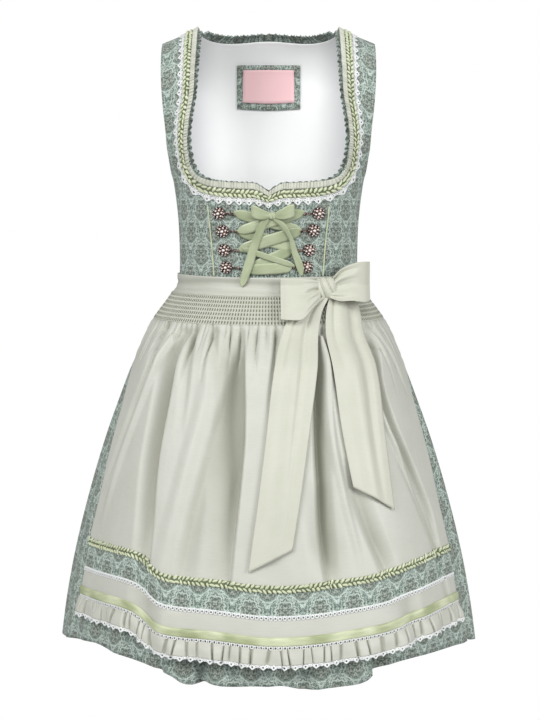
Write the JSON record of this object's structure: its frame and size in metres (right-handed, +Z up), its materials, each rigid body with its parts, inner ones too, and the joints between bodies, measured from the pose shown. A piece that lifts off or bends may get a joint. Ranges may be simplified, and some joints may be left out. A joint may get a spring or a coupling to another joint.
{
  "type": "dirndl dress with apron",
  "caption": "Sleeveless knee-length folk dress with laced bodice, low square neck, gathered print skirt and smocked ivory apron tied in a bow, hollow as worn.",
  "frame": {"origin": "half way between the middles of the two strap tops, where the shoulders carry the dress", "axes": "+Z up, -Y out of the front, +X to the wearer's left"},
  "size_m": [0.5803, 0.4942, 0.845],
  "materials": {
    "print": "matte cotton, damask print in grey-green and mint",
    "ivory": "ivory-sage satin with a soft sheen",
    "green": "gathered lime-sage trim",
    "sage": "pale green satin ribbon",
    "lace": "white cotton lace",
    "lining": "matte white cotton",
    "label": "woven pink label, bare",
    "metal": "antique copper-silver"
  },
  "bodies": {
    "root": {"apron_band": "ivory", "apron_braid": "green", "apron_ivory_band": "ivory", "apron_lace_lower": "lace", "apron_lace_upper": "lace", "apron_panel": "ivory", "apron_picot_lace": "lace", "apron_print_strip": "print", "apron_ribbon": "green", "apron_ruffle": "ivory", "apron_smocking": "ivory", "apron_tie_back": "ivory", "bodice_back": "print", "bodice_front_left": "print", "bodice_front_right": "print", "bodice_side_left": "print", "bodice_side_right": "print", "hook_left_1": "metal", "hook_left_2": "metal", "hook_left_3": "metal", "hook_left_4": "metal", "hook_right_1": "metal", "hook_right_2": "metal", "hook_right_3": "metal", "hook_right_4": "metal", "label": "label", "label_patch": "print", "lacing_1": "sage", "lacing_2": "sage", "lacing_3": "sage", "lacing_4": "sage", "lacing_5": "sage", "lacing_6": "sage", "lacing_end_left": "sage", "lacing_end_right": "sage", "lacing_knot": "sage", "lacing_loop_left": "sage", "lacing_loop_right": "sage", "lining_back": "lining", "neck_braid": "green", "neck_frill": "print", "neck_frill_back": "print", "neck_lace": "lace", "neck_ribbon": "ivory", "piping_left": "sage", "piping_right": "sage", "sash_knot": "ivory", "sash_loop_left": "ivory", "sash_loop_right": "ivory", "sash_tail_left": "ivory", "sash_tail_right": "ivory", "skirt_back": "print", "skirt_front": "print"}
  },
  "joints": []
}
